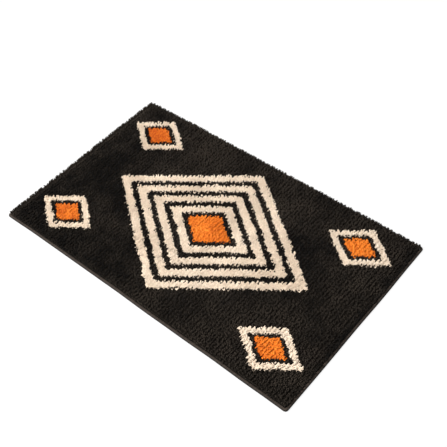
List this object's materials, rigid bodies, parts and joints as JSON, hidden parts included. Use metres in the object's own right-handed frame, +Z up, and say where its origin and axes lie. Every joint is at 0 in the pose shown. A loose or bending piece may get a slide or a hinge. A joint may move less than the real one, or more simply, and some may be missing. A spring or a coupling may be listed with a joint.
{
  "type": "doormat",
  "caption": "Rectangular tufted doormat that lies flat, with a thick cut pile in black, cream and orange and an overlocked yarn edge.",
  "frame": {"origin": "on the ground, under the middle of the mat", "axes": "+X along the mat's long side, +Y across it, parallel to the pile's rows, and +Z up, out of the pile"},
  "size_m": [0.75, 0.45, 0.0126],
  "materials": {
    "pile_black": "matt dyed yarn, cut pile",
    "pile_cream": "matt cream yarn, cut pile",
    "pile_orange": "matt orange yarn, cut pile",
    "backing": "woven backing cloth",
    "binding_yarn": "grey-brown overlock yarn with a slight sheen"
  },
  "bodies": {
    "root": {"pile_cloth": "pile_black", "edge_binding": "binding_yarn"}
  },
  "joints": []
}
